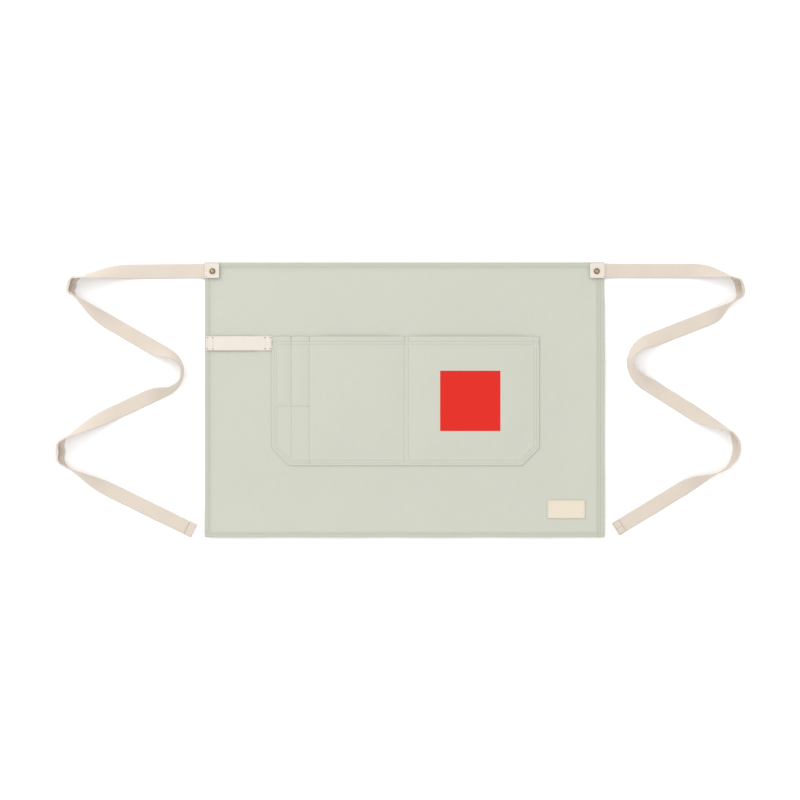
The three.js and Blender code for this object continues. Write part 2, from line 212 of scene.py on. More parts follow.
def distance_to(points, line, closed=False):
    """Distance of each point to a line of straight stretches."""
    route = np.array(list(line) + ([line[0]] if closed else []), float)
    nearest = np.full(len(points), 1e9)
    for start, stop in zip(route, route[1:]):
        run = stop - start
        share = np.clip((points - start) @ run / (run @ run), 0, 1)
        gap = points - start - share[:, None] * run
        nearest = np.minimum(nearest, np.hypot(gap[:, 0], gap[:, 1]))
    return nearest


def furrow(points, rows):
    """How far the rows of stitches pull the cloth down."""
    depth = np.zeros(len(points))
    for row in rows:
        depth = np.maximum(depth, np.exp(-(distance_to(points, row(0)) / GROOVE_WIDTH) ** 2))
    return GROOVE * depth


# Meshes
def new_object(name, data):
    made = bpy.data.objects.new(name, data)
    bpy.context.scene.collection.objects.link(made)
    return made


def set_attribute(mesh, name, values):
    """Gives every vertex a value or a vector."""
    values = np.asarray(values, np.float32)
    vector = values.ndim == 2
    layer = mesh.attributes.new(name, "FLOAT_VECTOR" if vector else "FLOAT", "POINT")
    layer.data.foreach_set("vector" if vector else "value", values.ravel())


def make_piece(name, points, faces, material, attribute_name, values):
    mesh = bpy.data.meshes.new(name)
    mesh.from_pydata(np.asarray(points).tolist(), [], faces)
    set_attribute(mesh, attribute_name, values)
    mesh.polygons.foreach_set("use_smooth", [True] * len(mesh.polygons))
    mesh.materials.append(material)
    mesh.validate()
    piece = new_object(name, mesh)
    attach(piece, "root")
    return piece


def flat_net(outline, rows, grid, step):
    """Triangles over an outline, with close lines along its edge and along the stitch rows."""
    rings = [ring(outline, distance, step) for distance in EDGE_RINGS]
    fine = [point for one in rings[1:] for point in one]
    inner = inset(outline, EDGE_RINGS[-1])
    for row in rows:
        for offset in GROOVE_LINES:
            fine += beside(row(0), row(offset), step)
    fine = np.array(fine)
    edge = np.array(rings[0])
    low = edge.min(0)
    high = edge.max(0)
    nx, ny = (max(2, int(round(size / grid))) for size in high - low)
    across = low[0] + (high[0] - low[0]) * (np.arange(nx) + 0.5) / nx
    along = low[1] + (high[1] - low[1]) * (np.arange(ny) + 0.5) / ny
    field = np.array([(x, y) for x in across for y in along])
    for row in rows:
        field = field[distance_to(field, row(0)) > 0.5 * grid]
    field = field[inside(field, inner) & (distance_to(field, inner, closed=True) > 0.3 * grid)]
    fine = fine[inside(fine, inset(outline, 0.05 * MM))]
    points = np.concatenate((edge, fine, field)) / MM
    kept = np.unique(np.round(points[len(edge):], 2), axis=0)
    points = np.concatenate((points[:len(edge)], kept))
    border = [(i, (i + 1) % len(edge)) for i in range(len(edge))]
    result = delaunay_2d_cdt([tuple(point) for point in points], border, [], 1, 1e-4)
    places = np.array([tuple(point) for point in result[0]]) * MM
    faces = np.array([tuple(face) for face in result[2]])
    return places, faces


def inside(points, outline):
    """Which points lie in a convex, counterclockwise outline."""
    result = np.ones(len(points), bool)
    corners = np.array(outline, float)
    for corner, after in zip(corners, np.roll(corners, -1, 0)):
        side = after - corner
        result &= side[0] * (points[:, 1] - corner[1]) - side[1] * (points[:, 0] - corner[0]) > 0
    return result


def sheet_piece(name, outline, rows, top, under, material, fold, grid=GRID, step=LINE_STEP):
    """A cloth with a rounded edge between an upper and a lower surface."""
    places, faces = flat_net(outline, rows, grid, step)
    depth = distance_to(places, outline, closed=True)
    rim = depth < 0.02 * MM
    rounding = np.sqrt(1 - (1 - np.clip(depth / EDGE_ROUND, 0, 1)) ** 2)
    high = top(places)
    low = under(places)
    middle = (high + low) / 2
    half = (high - low) / 2 * np.where(rim, 0, rounding)
    lower_index = np.where(rim, np.arange(len(places)), 0)
    lower_index[~rim] = len(places) + np.arange((~rim).sum())
    upper = np.column_stack((places, middle + half))
    lower = np.column_stack((places, middle - half))[~rim]
    points = np.concatenate((upper, lower))
    turned = lower_index[faces][:, ::-1]
    both = np.concatenate((faces, turned)).tolist()
    folds = fold(places)
    values = np.concatenate((folds, folds[~rim]))
    return make_piece(name, points, both, material, "fold", values)


# Thread; the rings of a stitch have a place along it, and a size and a drop in its radius
RING_PLACES = (-0.5, -0.37, 0, 0.37, 0.5)
RING_SIZES = (0.45, 0.95, 1, 0.95, 0.45)
RING_DROPS = (1.2, 0.3, 0, 0.3, 1.2)
THREAD_SIDES = 6
THREAD_RISE = 0.3  # how far a thread's middle lies over the cloth, in its radius
THREAD_FLAT = 0.85  # its height as a share of its width
STRAND_STEP = 2.4  # how far the shade of a stitch is from that of the one before, in radians
SAG = 0.15 * MM  # how far a stitch's ends may lie below its middle


def tube_faces(levels, sides):
    """Quads between the rings of a tube, and its two end caps."""
    faces = []
    for level in range(levels - 1):
        for k in range(sides):
            a = level * sides + k
            b = level * sides + (k + 1) % sides
            faces.append((a, b, b + sides, a + sides))
    faces.append(tuple(range(sides))[::-1])
    faces.append(tuple((levels - 1) * sides + k for k in range(sides)))
    return faces


def stitches_along(row, pitch=PITCH):
    """Start and end in plan of each stitch of a row."""
    found = []
    row = np.array(row, float)
    for start, run in zip(row, row[1:] - row[:-1]):
        length = np.linalg.norm(run)
        count = max(1, round(length / pitch))
        cut = THREAD_GAP / 2 / length
        for k in range(count):
            found.append([start + run * share for share in (k / count + cut, (k + 1) / count - cut)])
    return found


def thread_piece(name, ends, material, radius=THREAD, sides=THREAD_SIDES, up=1):
    """Short threads between pairs of points in space; up is -1 for those on an underside."""
    ends = np.array(ends)
    start = ends[:, 0]
    run = ends[:, 1] - start
    length = np.linalg.norm(run, axis=1)
    tangent = run / length[:, None]
    across = np.column_stack((-tangent[:, 1], tangent[:, 0], np.zeros(len(run))))
    across /= np.linalg.norm(across, axis=1)[:, None]
    rise = np.cross(tangent, across) * up
    middle = (start + ends[:, 1]) / 2
    layers = []
    for place, size, drop in zip(RING_PLACES, RING_SIZES, RING_DROPS):
        for k in range(sides):
            angle = TURN * k / sides
            layers.append(middle + tangent * (place * length)[:, None]
                          + across * (radius * size * math.cos(angle))
                          + rise * (radius * (THREAD_RISE + THREAD_FLAT * size * math.sin(angle)
                                              - drop)))
    points = np.stack(layers, axis=1).reshape(-1, 3)
    tube = [face[::up] for face in tube_faces(len(RING_PLACES), sides)]
    faces = [tuple(i * len(layers) + v for v in face) for i in range(len(ends)) for face in tube]
    shade = np.repeat(np.sin(np.arange(len(ends)) * STRAND_STEP), len(layers))
    return make_piece(name, points, faces, material, "strand", shade)


def lay(rows, surface, pitch=PITCH):
    """Stitches of several rows, laid on a surface."""
    plan = np.array([pair for row in rows for pair in stitches_along(row, pitch)])
    heights = surface(plan.reshape(-1, 2)).reshape(-1, 2)
    middles = surface(plan.mean(1))
    heights = np.maximum(heights, middles[:, None] - SAG)
    return np.concatenate((plan, heights[:, :, None]), axis=2)


# Materials
EXPOSURE = 1 / 1.5  # surface colours are this share of what the lit photo shows


def linear(red, green, blue):
    """A colour read from the photo, as the shader wants it."""
    def channel(value):
        share = value / 255
        return EXPOSURE * (share / 12.92 if share <= 0.04045 else ((share + 0.055) / 1.055) ** 2.4)
    return (channel(red), channel(green), channel(blue), 1.0)


CANVAS_COLOR = linear(213, 215, 201)
HEM_COLOR = linear(205, 207, 192)
PRINT_COLOR = linear(233, 38, 24)
PRINT_RIM_COLOR = linear(206, 38, 28)
LABEL_COLOR = linear(243, 231, 211)
# Darker colour for the label's outer millimetre: painted shade along its edge.
LABEL_EDGE_SHADE = linear(232, 217, 192)
TIE_COLOR = linear(232, 219, 204)
WEBBING_COLOR = linear(243, 234, 223)
BRASS_DARK = (0.13, 0.088, 0.047, 1)
BRASS_BRIGHT = (0.42, 0.31, 0.155, 1)


def start_material(name):
    material = bpy.data.materials.new(name)
    material.use_nodes = True
    tree = material.node_tree
    return material, tree, tree.nodes["Principled BSDF"]


def feed(tree, node, inputs):
    """Sets inputs, by number or name, to a value, or links them to another node's socket."""
    for key, value in dict(inputs).items():
        if isinstance(value, bpy.types.NodeSocket):
            tree.links.new(value, node.inputs[key])
        else:
            node.inputs[key].default_value = value


def add(tree, kind, inputs=(), **settings):
    node = tree.nodes.new(kind)
    for key, value in settings.items():
        setattr(node, key, value)
    feed(tree, node, inputs)
    return node


def calc(tree, operation, *values):
    return add(tree, "ShaderNodeMath", enumerate(values), operation=operation).outputs[0]


def centred(tree, value):
    return calc(tree, "SUBTRACT", value, 0.5)


def clamped(tree, value):
    return add(tree, "ShaderNodeClamp", {0: value}).outputs[0]


def sine(tree, value, pitch):
    return calc(tree, "SINE", calc(tree, "MULTIPLY", value, TURN / pitch))


def blend_colors(tree, factor, first, second):
    return add(tree, "ShaderNodeMix", {0: factor, 6: first, 7: second}, data_type="RGBA").outputs[2]


def attribute(tree, name, output="Fac"):
    return add(tree, "ShaderNodeAttribute", attribute_name=name).outputs[output]


def noise(tree, vector, scale=1.0, detail=2.0):
    inputs = {"Vector": vector, "Scale": scale, "Detail": detail}
    return add(tree, "ShaderNodeTexNoise", inputs).outputs["Fac"]


def split(tree, vector):
    return add(tree, "ShaderNodeSeparateXYZ", {0: vector}).outputs[:3]


def object_place(tree):
    """Place on the object, whole and as x, y and z."""
    place = add(tree, "ShaderNodeTexCoord").outputs["Object"]
    return place, *split(tree, place)


def weave_height(tree, x, y, yarn):
    """Plain weave: warp over weft and weft over warp in turn."""
    warp = sine(tree, x, 2 * yarn)
    weft = sine(tree, y, 2 * yarn)
    over = calc(tree, "MULTIPLY_ADD", calc(tree, "MULTIPLY", warp, weft), 0.5, 0.5)
    ridges = calc(tree, "MULTIPLY", calc(tree, "ABSOLUTE", warp), calc(tree, "ABSOLUTE", weft))
    return calc(tree, "MULTIPLY_ADD", over, 0.45, calc(tree, "MULTIPLY", ridges, 0.55))


def add_bump(tree, shader, height, strength, distance):
    inputs = {"Strength": strength, "Distance": distance, "Height": height}
    feed(tree, shader, {"Normal": add(tree, "ShaderNodeBump", inputs).outputs[0]})


def finish_cloth(tree, shader, color, height, bump, distance, roughness, sheen):
    add_bump(tree, shader, height, bump, distance)
    feed(tree, shader, {"Base Color": color, "Roughness": roughness, "Sheen Weight": sheen,
                        "Sheen Roughness": 0.5, "Specular IOR Level": 0.25})


def yarn_noise(tree, vector, scale):
    yarns = add(tree, "ShaderNodeMapping", {"Vector": vector, "Scale": scale})
    return centred(tree, noise(tree, yarns.outputs[0]))


def yarn_shade(tree, vector, amount):
    """Brightness of single yarns in both directions, and of larger patches, around 1."""
    warp = yarn_noise(tree, vector, (1700, 45, 1))
    weft = yarn_noise(tree, vector, (45, 1700, 1))
    patch = centred(tree, noise(tree, vector, scale=9.0, detail=3.0))
    total = calc(tree, "MULTIPLY_ADD", patch, 0.35, calc(tree, "ADD", warp, weft))
    return calc(tree, "MULTIPLY_ADD", total, amount, 1.0)


def tinted(tree, color, shade):
    base = color if isinstance(color, bpy.types.NodeSocket) else color[:3]
    return add(tree, "ShaderNodeVectorMath", {0: base, "Scale": shade}, operation="SCALE").outputs[0]


def canvas_material(name, printed=False):
    material, tree, shader = start_material(name)
    place, x, y, _ = object_place(tree)
    color = blend_colors(tree, attribute(tree, "fold"), CANVAS_COLOR, HEM_COLOR)
    if printed:
        color = print_over(tree, x, y, place, color)
    color = tinted(tree, color, yarn_shade(tree, place, 0.10))
    weave = weave_height(tree, x, y, 0.62 * MM)
    finish_cloth(tree, shader, color, weave, 0.35, 0.15 * MM, 0.88, 0.15)
    return material


def band(tree, value, low, high, soft):
    """1 between two values, falling to 0 over a soft edge."""
    rise = calc(tree, "DIVIDE", calc(tree, "SUBTRACT", value, low), soft)
    fall = calc(tree, "DIVIDE", calc(tree, "SUBTRACT", high, value), soft)
    return clamped(tree, calc(tree, "MINIMUM", rise, fall))


def print_over(tree, x, y, place, cloth):
    """A plain printed square, its edges a little rough from the weave."""
    right = pocket_high.x - PRINT_FROM_RIGHT
    top = pocket_high.y - PRINT_FROM_MOUTH
    rough = calc(tree, "MULTIPLY", centred(tree, noise(tree, place, scale=900)), 0.5 * MM)
    across = calc(tree, "ADD", x, rough)
    up = calc(tree, "ADD", y, rough)
    area = calc(tree, "MULTIPLY", band(tree, across, right - PRINT_SIZE, right, 0.35 * MM),
                band(tree, up, top - PRINT_SIZE, top, 0.35 * MM))
    rim = calc(tree, "SUBTRACT", 1.0, band(tree, up, top - PRINT_SIZE, top, 1.5 * MM))
    return blend_colors(tree, area, cloth, blend_colors(tree, rim, PRINT_COLOR, PRINT_RIM_COLOR))


def tape_material(name, base, rib, bump=0.3):
    """Woven tape: its coordinates along and across come with the mesh."""
    material, tree, shader = start_material(name)
    place = attribute(tree, "tape", "Vector")
    along, across, _ = split(tree, place)
    zigzag = calc(tree, "PINGPONG", across, 2.4 * MM)
    twill = sine(tree, calc(tree, "ADD", along, zigzag), rib)
    cords = sine(tree, across, 0.8 * MM)
    height = calc(tree, "ADD", calc(tree, "MULTIPLY", twill, 0.5), calc(tree, "MULTIPLY", cords, 0.3))
    selvage = band(tree, calc(tree, "ABSOLUTE", across), TAPE / 2 - 1.3 * MM, TAPE, 0.4 * MM)
    shade = yarn_shade(tree, place, 0.12)
    for pattern, amount in ((twill, 0.012), (selvage, -0.03)):
        shade = calc(tree, "MULTIPLY", shade, calc(tree, "MULTIPLY_ADD", pattern, amount, 1.0))
    finish_cloth(tree, shader, tinted(tree, base, shade), height, bump, 0.12 * MM, 0.82, 0.2)
    return material


def thread_material(name, base):
    material, tree, shader = start_material(name)
    _, x, y, z = object_place(tree)
    twist = sine(tree, calc(tree, "ADD", calc(tree, "ADD", x, y), z), 0.45 * MM)
    shade = calc(tree, "MULTIPLY_ADD", attribute(tree, "strand"), 0.03,
                 calc(tree, "MULTIPLY_ADD", twist, 0.02, 1.0))
    finish_cloth(tree, shader, tinted(tree, base, shade), twist, 0.4, 0.08 * MM, 0.7, 0.1)
    return material


def brass_material():
    material, tree, shader = start_material("aged_brass")
    place = add(tree, "ShaderNodeTexCoord").outputs["Object"]
    spots = noise(tree, place, scale=1400, detail=4.0)
    spotted = calc(tree, "MULTIPLY", centred(tree, spots), 0.7)
    # Brightness from the profile: bright worn dome, patina in the recess and painted shade round the
    # rim, varied by spots.
    bright = clamped(tree, calc(tree, "ADD", attribute(tree, "wear_and_rim_shade"), spotted))
    feed(tree, shader, {"Base Color": blend_colors(tree, bright, BRASS_DARK, BRASS_BRIGHT),
                        "Metallic": 1.0,
                        "Roughness": calc(tree, "MULTIPLY_ADD", bright, -0.18, 0.5)})
    add_bump(tree, shader, spots, 0.15, 0.05 * MM)
    return material


def patch_material():
    """Tight cotton satin of the label, with fine ribs along it."""
    material, tree, shader = start_material("label_satin")
    place, _, y, _ = object_place(tree)
    # The fold attribute is 1 along the label's edge, where the darker colour is painted shade.
    color = blend_colors(tree, attribute(tree, "fold"), LABEL_COLOR, LABEL_EDGE_SHADE)
    color = tinted(tree, color, yarn_shade(tree, place, 0.06))
    finish_cloth(tree, shader, color, sine(tree, y, 0.5 * MM), 0.25, 0.08 * MM, 0.65, 0.15)
    return material


canvas = canvas_material("sage_canvas")
canvas_printed = canvas_material("sage_canvas_printed", printed=True)
tie_tape = tape_material("flax_tape", TIE_COLOR, 1.1 * MM)
webbing = tape_material("cream_webbing", WEBBING_COLOR, 0.9 * MM, bump=0.2)
# The sage thread is painted darker than the canvas it matches: painted shade of the furrows and needle
# holes its stitches lie in.
furrow_shaded_thread = thread_material("sage_thread_furrow_shade", linear(186, 188, 172))
cream_thread = thread_material("cream_thread", linear(222, 208, 190))
# Dark thread for the tacks: its darkness is partly real thread and partly painted shade of the tack
# holes.
tack_thread_with_hole_shade = thread_material("umber_thread_hole_shade", linear(112, 102, 86))
russet_thread = thread_material("russet_thread", linear(146, 116, 98))
brass = brass_material()
satin = patch_material()


# Panel
PANEL = box_corners(cloth_low, cloth_high)
CALM = 0.48 * MM  # mean height of a hem's underside away from the lifted edges
CALM_WAVES = ((0.31, 20, 0.4, 0.22 * MM), (0.19, 105, 2.1, 0.16 * MM), (0.13, 62, 4.0, 0.1 * MM))
PUCKER_WAVES = ((0.023, 0, 0.2, 0.5), (0.017, 0, 1.7, 0.3), (0.0134, 0, 3.3, 0.2))
RIPPLE = 0.22  # how much the lift of the edges varies along them, as a share
RIPPLE_LENGTH = 0.17
CROSSING = 0.35  # what two hems that cross add to their share
PUCKER = 0.16 * MM
PUCKER_REACH = 9 * MM


HEM_ROWS = (LEFT_ROW, RIGHT_ROWS[1], BOTTOM_ROW, TOP_ROW)
ROW_END = 1.5 * MM  # between a row's end and the panel's edge


def floor_gap(points):
    """Height of the panel's underside over the floor."""
    x, y = points.T
    calm = CALM + waves(x, y, CALM_WAVES)
    rim = distance_to(points, PANEL, closed=True)
    calm = calm * smooth(rim, 5 * MM, 60 * MM)
    right = smooth(x, panel_high.x - LIFT_REACH, panel_high.x)
    lower = smooth(-y, -panel_low.y - LIFT_REACH, -panel_low.y)
    lift = EDGE_LIFT * (1 - (1 - right) * (1 - lower))
    ripple = 1 + RIPPLE * np.sin(TURN * (x + 0.8 * y) / RIPPLE_LENGTH)
    still = smooth(panel_high.y - y, 30 * MM, CALM_CORNER)
    return calm + lift * ripple * still


def panel_sides(points):
    x, y = points.T
    return (x - cloth_low.x, cloth_high.x - x, y - cloth_low.y, cloth_high.y - y)


def hem_share(points, soft):
    """0 on the single layer to 1 on the folded hems, a little more where two hems cross."""
    parts = [1 - smooth(gap, row + HEM_PAST_ROW, row + HEM_PAST_ROW + soft)
             for gap, row in zip(panel_sides(points), HEM_ROWS)]
    upright = np.maximum(parts[0], parts[1])
    level = np.maximum(parts[2], parts[3])
    return np.maximum(upright, level) + CROSSING * upright * level


def puckers(along, gap, row):
    near = np.exp(-np.abs(gap - row) / PUCKER_REACH)
    strength = 0.55 + 0.45 * np.sin(TURN * along / 0.19 + 40 * row)
    return PUCKER * near * strength * waves(along, np.zeros_like(along), PUCKER_WAVES)


def upright_row(x, start, stop):
    """A row of stitches, as a function of how far beside it a line runs."""
    return lambda off: [(x + off, start), (x + off, stop)]


def level_row(y, start, stop):
    return lambda off: [(start, y + off), (stop, y + off)]


PANEL_ROWS = [upright_row(x, cloth_low.y + ROW_END, cloth_high.y - ROW_END)
              for x in (cloth_low.x + LEFT_ROW, *(cloth_high.x - gap for gap in RIGHT_ROWS))]
PANEL_ROWS += [level_row(y, cloth_low.x + ROW_END, cloth_high.x - ROW_END)
               for y in (cloth_low.y + BOTTOM_ROW, cloth_high.y - TOP_ROW)]


def panel_plain(points):
    """Upper surface without furrows, which the pieces on the panel lie on."""
    x, y = points.T
    height = floor_gap(points) + UNDER + CANVAS + (HEM_EXTRA - UNDER) * hem_share(points, 2.4 * MM)
    for gap, row, along in zip(panel_sides(points), HEM_ROWS, (y, y, x, x)):
        height = height + puckers(along, gap, row)
    return height


def panel_top(points):
    return panel_plain(points) - furrow(points, PANEL_ROWS)


def panel_under(points):
    return floor_gap(points) + UNDER * (1 - np.minimum(hem_share(points, 0.5 * MM), 1))


def panel_fold(points):
    return np.clip(hem_share(points, 1.5 * MM), 0, 1.3)


# Pocket
MOUTH = pocket_high.y
POCKET = [(pocket_low.x, MOUTH), (pocket_low.x, pocket_low.y + POCKET_CORNER),
          (pocket_low.x + POCKET_CORNER, pocket_low.y),
          (pocket_high.x - POCKET_CORNER, pocket_low.y),
          (pocket_high.x, pocket_low.y + POCKET_CORNER), (pocket_high.x, MOUTH)]


def sewn_line(distance):
    """Line at a distance from the pocket's three sewn sides, open at the mouth."""
    line = inset(POCKET, distance)
    top = MOUTH - 1.2 * MM
    line[0] = np.array((line[0][0], top))
    line[-1] = np.array((line[-1][0], top))
    return line


SEW_LEFT = pocket_low.x + POCKET_ROWS[1]
SEW_RIGHT = pocket_high.x - POCKET_ROWS[1]
SEW_BOTTOM = pocket_low.y + POCKET_ROWS[1]
PEN_X = [pocket_low.x + share for share in PEN_SEAMS]
PEN_FLOOR = MOUTH - PEN_DEPTH
MIDDLE_X = [pocket_low.x + share for share in MIDDLE_SEAMS]


def pocket_rows():
    edge = 2 * MM
    rows = [lambda off, d=d: sewn_line(d + off) for d in POCKET_ROWS]
    for depth in MOUTH_ROWS:
        rows.append(level_row(MOUTH - depth, pocket_low.x + edge, pocket_high.x - edge))
    rows.append(upright_row(PEN_X[0], MOUTH - edge, pocket_low.y + POCKET_ROWS[1] + 2 * MM))
    rows.append(upright_row(PEN_X[1], MOUTH - edge, pocket_low.y + POCKET_ROWS[0]))
    for x in MIDDLE_X:
        rows.append(upright_row(x, MOUTH - edge, pocket_low.y + POCKET_ROWS[0]))
    rows.append(level_row(PEN_FLOOR, pocket_low.x + POCKET_ROWS[0], PEN_X[1]))
    return rows


ROWS_ON_POCKET = pocket_rows()


def swell(distance, reach):
    share = np.clip(distance / reach, 0, 1)
    return 1 - (1 - share) ** 2


def stand_off(points):
    """How far the pocket's cloth stands off the panel between its seams."""
    x, y = points.T
    total = np.zeros(len(points))
    slant = (pocket_high.x - x + y - pocket_low.y - POCKET_CORNER) / math.sqrt(2) - POCKET_ROWS[1]
    cells = ((SEW_LEFT, PEN_X[0], PEN_FLOOR, PEN_PUFF), (PEN_X[0], PEN_X[1], PEN_FLOOR, PEN_PUFF),
             (PEN_X[1], MIDDLE_X[0], SEW_BOTTOM, POCKET_PUFF),
             (MIDDLE_X[1], SEW_RIGHT, SEW_BOTTOM, POCKET_PUFF))
    for left, right, floor, puff in cells:
        reach = min(PUFF_REACH, (right - left) / 2)
        share = (swell(x - left, reach) * swell(right - x, reach) * swell(y - floor, reach)
                 * swell(slant, reach))
        total = np.maximum(total, puff * share)
    return total


def pocket_layers(points):
    """0 on the single layer to 1 on the turned edges and the mouth's hem."""
    rim = distance_to(points, sewn_line(0.01 * MM))
    edges = 1 - smooth(rim, POCKET_ROWS[1] + 0.8 * MM, POCKET_ROWS[1] + 3 * MM)
    mouth = 1 - smooth(MOUTH - points[:, 1], MOUTH_HEM, MOUTH_HEM + 1.2 * MM)
    return np.maximum(edges, mouth)


def flat_fold(points):
    """Hems in the colour of a single layer."""
    return np.zeros(len(points))


def pocket_under(points):
    return panel_plain(points) + SEAT + stand_off(points)


def pocket_top(points):
    x, y = points.T
    height = pocket_under(points) + CANVAS + POCKET_HEM_EXTRA * pocket_layers(points)
    for gap, row, along in ((MOUTH - y, MOUTH_ROWS[1], x), (x - pocket_low.x, POCKET_ROWS[1], y),
                            (pocket_high.x - x, POCKET_ROWS[1], y),
                            (y - pocket_low.y, POCKET_ROWS[1], x)):
        height = height + puckers(along, gap, row)
    return height - furrow(points, ROWS_ON_POCKET)


panel = sheet_piece("panel_cloth", PANEL, PANEL_ROWS, panel_top, panel_under, canvas,
                    panel_fold)
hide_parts("apron_panel")
pocket = sheet_piece("pocket_cloth", POCKET, ROWS_ON_POCKET, pocket_top, pocket_under,
                     canvas_printed, flat_fold)
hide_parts("pocket_panel")


# Stitches of the panel and the pocket, on the front and, through the panel, on the back
TACK_THREADS = 7
TACK_SLANT = 0.07
TACK_WIDTH = 1.8 * MM


def bar_tack(x, y, width, height):
    """Rows of a dense zigzag over a small upright or level bar."""
    rows = []
    for k in range(TACK_THREADS):
        share = (k + 0.5) / TACK_THREADS - 0.5
        if height > width:
            rows.append([(x - width / 2, y + share * height),
                         (x + width / 2, y + (share + TACK_SLANT) * height)])
        else:
            rows.append([(x + share * width, y - height / 2),
                         (x + (share + TACK_SLANT) * width, y + height / 2)])
    return rows


# Tacks by their middle, width and height
TACKS = [(x, MOUTH - 6 * MM, TACK_WIDTH, 8 * MM) for x in (*PEN_X, *MIDDLE_X)]
TACKS += [
    (PEN_X[1], pocket_low.y + 6.6 * MM, TACK_WIDTH, 7 * MM),
    (PEN_X[1] - 3.5 * MM, PEN_FLOOR, 6 * MM, TACK_WIDTH),
    (cloth_low.x + LEFT_ROW / 2, cloth_low.y + BOTTOM_ROW + 4.5 * MM, 6 * MM, TACK_WIDTH),
    (cloth_high.x - RIGHT_ROWS[1], cloth_low.y + BOTTOM_ROW + 2 * MM, TACK_WIDTH, 5 * MM),
]
tack_rows = [row for tack in TACKS for row in bar_tack(*tack)]
panel_lines = [row(0) for row in PANEL_ROWS]
pocket_lines = [row(0) for row in ROWS_ON_POCKET]
hem_thread = thread_piece("hem_stitches", lay(panel_lines, panel_top), furrow_shaded_thread)
pocket_thread = thread_piece("pocket_stitches", lay(pocket_lines, pocket_top), furrow_shaded_thread)


def front_top(points):
    """Pocket where there is pocket, and panel beside it."""
    return np.where(inside(points, inset(POCKET, 0.3 * MM)), pocket_top(points), panel_top(points))


tack_thread = thread_piece("bar_tacks", lay(tack_rows, front_top, pitch=6 * MM),
                           furrow_shaded_thread, radius=0.3 * MM)
back_thread = thread_piece("back_stitches", lay(panel_lines + pocket_lines, panel_under),
                           furrow_shaded_thread, radius=0.2 * MM, sides=4, up=-1)


# Tapes
EDGE_THIN = 0.25  # thickness of a tape's very edge, as a share


def tape_mesh(name, sections, material, edge=0.35 * MM):
    """Closed tape through sections; a section is (points, normals, half thickness, along, across)."""
    upper = []
    lower = []
    marks = []
    for points, normals, half, along, across in sections:
        reach = np.abs(across).max()
        gap = reach - np.abs(across)
        thin = np.sqrt(np.clip(1 - (1 - np.clip(gap / edge, 0, 1)) ** 2, 0, 1))
        thin = thin * (1 - EDGE_THIN) + EDGE_THIN
        upper.append(points + normals * (half[1] * thin)[:, None])
        lower.append(points - normals * (half[0] * thin)[:, None])
        marks.append(np.column_stack((np.full(len(across), along), across, np.zeros(len(across)))))
    rows = len(upper)
    columns = len(upper[0])
    points = np.concatenate(upper + lower)
    marks = np.concatenate(marks + marks)

    def top(r, c):
        return r * columns + c

    def low(r, c):
        return top(rows + r, c)

    faces = []
    for r in range(rows - 1):
        for c in range(columns - 1):
            faces.append((top(r, c), top(r + 1, c), top(r + 1, c + 1), top(r, c + 1)))
            faces.append((low(r, c), low(r, c + 1), low(r + 1, c + 1), low(r + 1, c)))
        faces.append((top(r, 0), low(r, 0), low(r + 1, 0), top(r + 1, 0)))
        last = columns - 1
        faces.append((top(r, last), top(r + 1, last), low(r + 1, last), low(r, last)))
    for c in range(columns - 1):
        faces.append((top(0, c), top(0, c + 1), low(0, c + 1), low(0, c)))
        last = rows - 1
        faces.append((top(last, c), low(last, c), low(last, c + 1), top(last, c + 1)))
    if face_volume(points, faces) < 0:
        faces = [face[::-1] for face in faces]
    return make_piece(name, points, faces, material, "tape", marks)


def face_volume(points, faces):
    """Six times the volume in a closed mesh of quads, below 0 where it is inside out."""
    quads = np.array(faces)
    a, b, c, d = (points[quads[:, k]] for k in range(4))
    return (np.einsum("ij,ij->i", a, np.cross(b, c)) + np.einsum("ij,ij->i", a, np.cross(c, d))).sum()


tab_middle = (tab_boxes["right"][0] + tab_boxes["right"][1]) / 2
TAB = tab_boxes["right"][1].x - tab_boxes["right"][0].x
TIE_LEVEL = tab_boxes["right"][0].z - SEAT - TAPE_THICK
TAB_GAP = panel_high.x - tab_boxes["right"][1].x


def tie_path(turns, end):
    """Middle line of a tie in plan: straight runs, tangent to turns to the right and left."""
    def circle_at(out, down, radius=0, hand=0):
        height = panel_high.y - panel_low.y
        return {"x": out * TIE_SPREAD, "y": panel_high.y - down * height,
                "radius": radius * TAPE, "hand": hand}

    circles = [{"x": tab_middle.x - TAB / 2 - panel_high.x, "y": tab_middle.y + TIE_RAISE,
                "radius": 0, "hand": 0}]
    for i, row in enumerate(turns):
        circles.append(circle_at(*row[:3], hand=1 if i % 2 else -1))
        circles[-1]["turn"] = dict(zip(TURN_COLUMNS, row))
    circles.append(circle_at(*end))

    def touch(circle, heading):
        reach = circle["hand"] * circle["radius"]
        return circle["x"] + reach * math.sin(heading), circle["y"] - reach * math.cos(heading)

    runs = []
    for start, stop in zip(circles, circles[1:]):
        dx = stop["x"] - start["x"]
        dy = stop["y"] - start["y"]
        swing = stop["hand"] * stop["radius"] - start["hand"] * start["radius"]
        heading = math.atan2(dy, dx) - math.asin(swing / math.hypot(dx, dy))
        first = touch(start, heading)
        last = touch(stop, heading)
        runs.append((first, heading, math.dist(first, last)))
    pieces = []
    distance = 0
    for i, (first, heading, length) in enumerate(runs):
        pieces.append((distance, first, heading, None))
        distance += length
        circle = circles[i + 1]
        if "turn" in circle:
            angle = ((runs[i + 1][1] - heading) * circle["hand"] + 2 * TURN) % TURN
            pieces.append((distance, None, heading, circle))
            circle["middle"] = distance + angle * circle["radius"] / 2
            distance += angle * circle["radius"]

    def at(s):
        begin, first, heading, circle = [one for one in pieces if s >= one[0] or one is pieces[0]][-1]
        along = s - begin
        if circle is None:
            return first[0] + along * math.cos(heading), first[1] + along * math.sin(heading), heading
        turned = heading + circle["hand"] * along / circle["radius"]
        return *touch(circle, turned), turned

    return at, distance, circles[1:-1]


